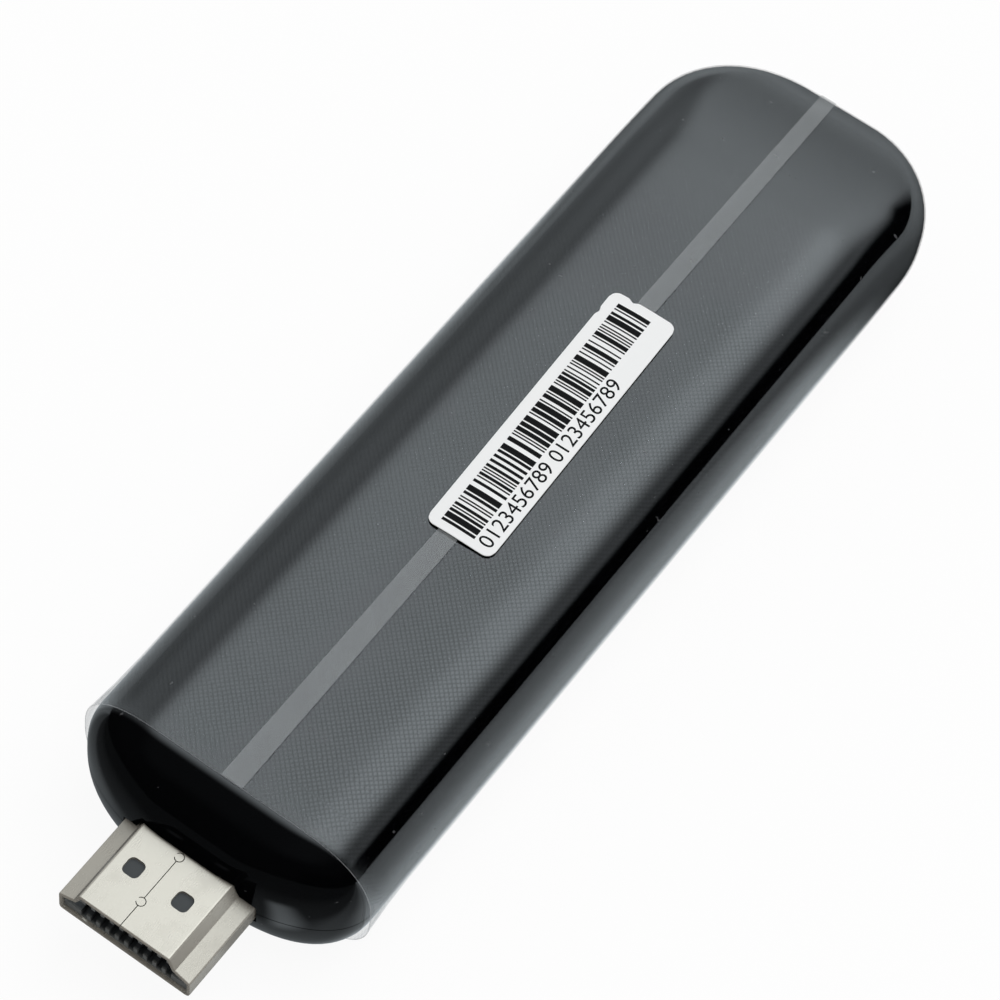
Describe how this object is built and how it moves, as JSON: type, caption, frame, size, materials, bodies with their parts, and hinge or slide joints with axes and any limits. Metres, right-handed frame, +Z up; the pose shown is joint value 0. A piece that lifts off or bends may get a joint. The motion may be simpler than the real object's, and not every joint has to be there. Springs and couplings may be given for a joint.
{
  "type": "streaming stick",
  "caption": "Pillow-shaped gloss-black streaming stick with a video plug, still in its clear film, with a blank-data barcode label, side power port and reset button.",
  "frame": {"origin": "centre of the bounding box's underside, on the surface that the stick rests on", "axes": "+X along the stick from the plug to the far end, +Y to the side with the power port, +Z up through the labelled face"},
  "size_m": [0.1122, 0.0308, 0.0158],
  "materials": {
    "body_plastic": "gloss black",
    "clear_film": "clear, finely embossed",
    "label_paper": "white, semi-gloss",
    "plug_metal": "satin nickel",
    "black_moulding": "satin black",
    "contact_gold": "gold plated",
    "board_green": "solder mask",
    "chip_black": "moulded",
    "shield_tin": "tin plated",
    "thermal_pad": "soft matte",
    "spreader_metal": "mill",
    "ferrite": "matte",
    "capacitor_ceramic": "matte",
    "screw_steel": "zinc plated",
    "button_plastic": "satin black",
    "light_clear": "clear"
  },
  "bodies": {
    "stick": {"label_side_shell": "body_plastic", "logo_side_shell": "body_plastic", "protective_film": "clear_film", "barcode_label": "label_paper", "plug_shell": "plug_metal", "plug_insulator": "black_moulding", "plug_tail_holder": "black_moulding", "plug_contacts_narrow_side": "contact_gold", "plug_contacts_wide_side": "contact_gold", "circuit_board": "board_green", "board_screws": "screw_steel", "main_processor": "chip_black", "memory_chips": "chip_black", "shield_frame": "shield_tin", "shield_lid": "shield_tin", "lower_thermal_pad": "thermal_pad", "upper_thermal_pad": "thermal_pad", "heat_spreader": "spreader_metal", "flash_memory": "chip_black", "power_chip": "chip_black", "power_inductors": "ferrite", "bulk_capacitors": "capacitor_ceramic", "crystals": "shield_tin", "chip_passives": "capacitor_ceramic", "radio_module": "shield_tin", "left_antenna": "shield_tin", "right_antenna": "shield_tin", "port_shell": "plug_metal", "port_tongue": "black_moulding", "port_contacts": "contact_gold", "switch_body": "black_moulding", "switch_dome": "shield_tin", "switch_frame": "shield_tin", "status_light": "light_clear", "light_pipe": "light_clear"},
    "reset_button": {"reset_button_cap": "button_plastic", "switch_plunger": "button_plastic"}
  },
  "joints": [
    {"name": "reset_press", "type": "slide", "parent": "stick", "child": "reset_button", "axis": [0, -1, 0], "range_m": [0, 0.00025], "stiffness_N_per_m": 1500, "springref_m": -0.0003}
  ]
}
